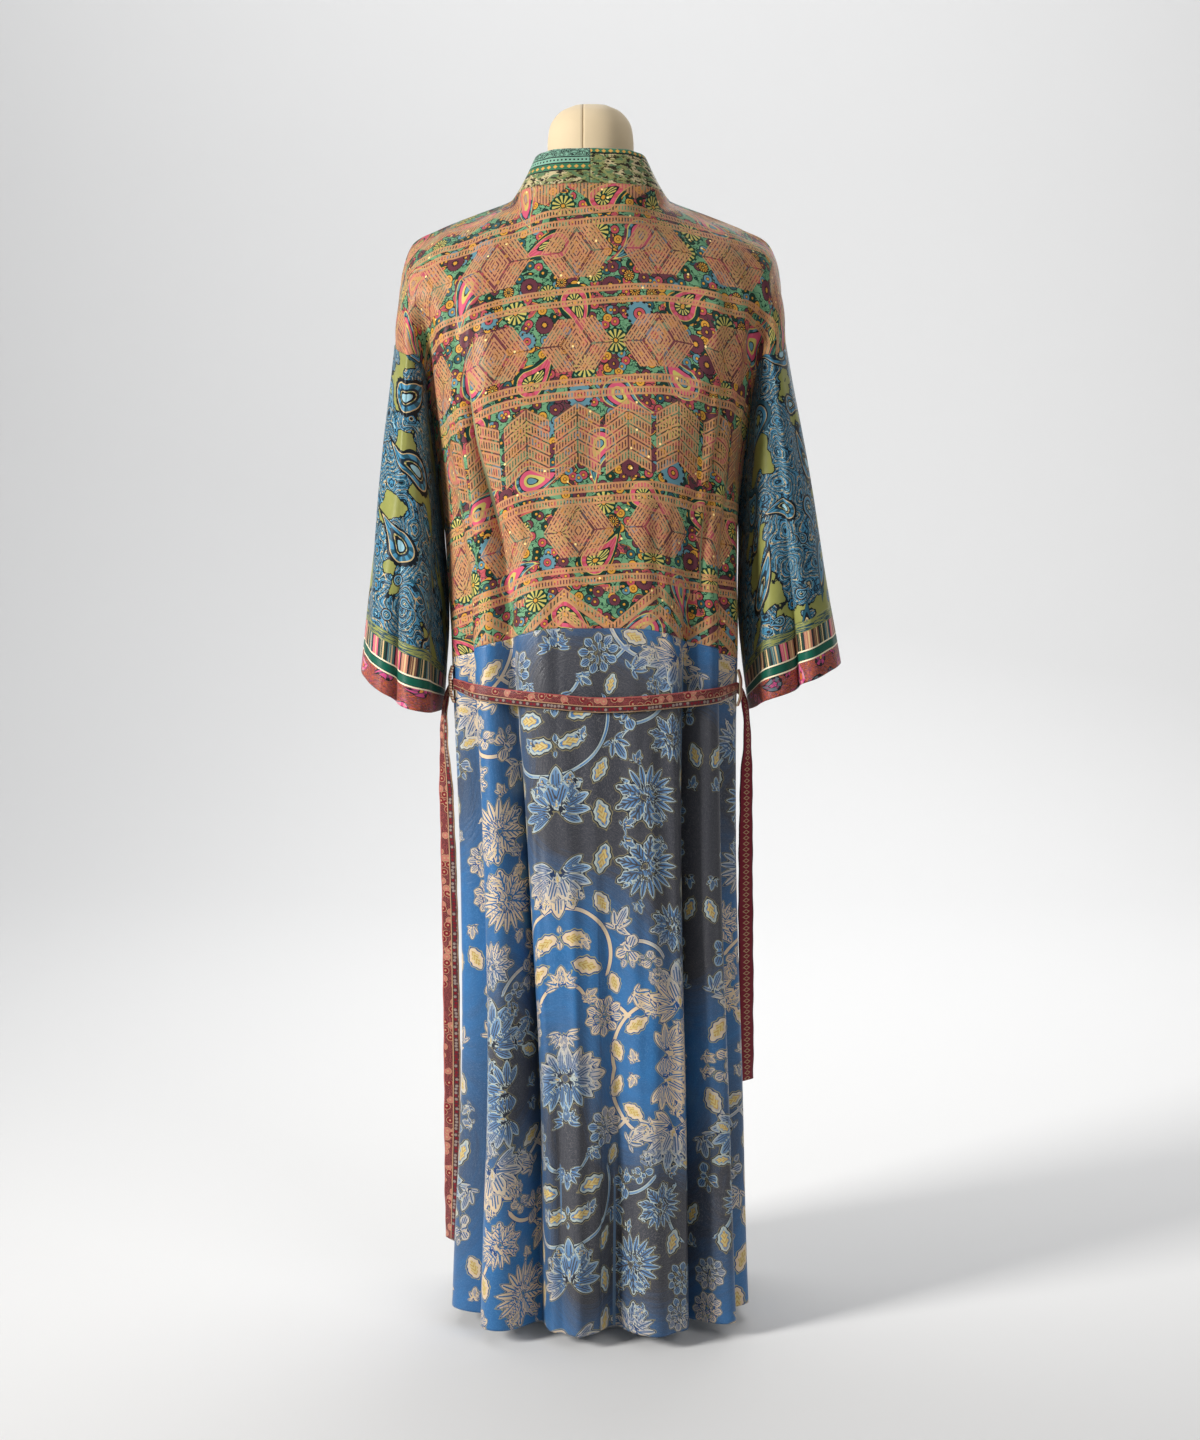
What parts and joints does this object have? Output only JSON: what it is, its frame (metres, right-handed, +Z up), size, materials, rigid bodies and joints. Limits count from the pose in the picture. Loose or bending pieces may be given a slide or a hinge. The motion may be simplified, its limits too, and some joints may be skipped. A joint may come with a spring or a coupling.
{
  "type": "silk kimono on a dress form",
  "caption": "Open patchwork silk kimono robe with wide sleeves, neckband and untied belt, standing on a limbless dress form with a pole and round foot.",
  "frame": {"origin": "on the floor under the pole, at the centre line of the dress form", "axes": "+Z up; the wearer's back faces -Y and the open front +Y; -X is the wearer's left"},
  "size_m": [0.5794, 0.3226, 1.463],
  "materials": {
    "printed_silk_green": "jade green silk with a dense paisley print, rows of peach geometric hatching and small gold glints",
    "printed_silk_blue": "satin-faced silk in bright blue and charcoal with cream flowers, leaves and vines",
    "printed_silk_olive": "chartreuse silk with dense teal and navy paisleys",
    "printed_silk_border": "the sleeve silk's woven border: green and cream stripes and orange flowers",
    "band_silk_mint": "pieced band: mint vine print, green strip with gold diamonds, olive smudged stripes",
    "band_silk_olive": "pieced band: olive and khaki smudged stripes with a green and gold edge",
    "printed_silk_red": "dark red and salmon paisley silk with narrow beige border stripes",
    "loop_silk": "cream silk strip with red-brown stripes",
    "jersey_cover": "cream jersey stretched over a padded form",
    "brushed_steel": "plain steel tube",
    "painted_foot": "pale painted round foot"
  },
  "bodies": {
    "root": {"back_upper": "printed_silk_green", "front_upper_left": "printed_silk_green", "front_upper_right": "printed_silk_green", "back_skirt": "printed_silk_blue", "front_skirt_left": "printed_silk_blue", "front_skirt_right": "printed_silk_blue", "sleeve_left": "printed_silk_olive", "sleeve_right": "printed_silk_olive", "cuff_left": "printed_silk_border", "cuff_right": "printed_silk_border", "neckband_left": "band_silk_mint", "neckband_right": "band_silk_olive", "belt": "printed_silk_red", "belt_loop_left": "loop_silk", "belt_loop_right": "loop_silk", "form_torso": "jersey_cover", "stand_pole": "brushed_steel", "stand_foot": "painted_foot"}
  },
  "joints": []
}
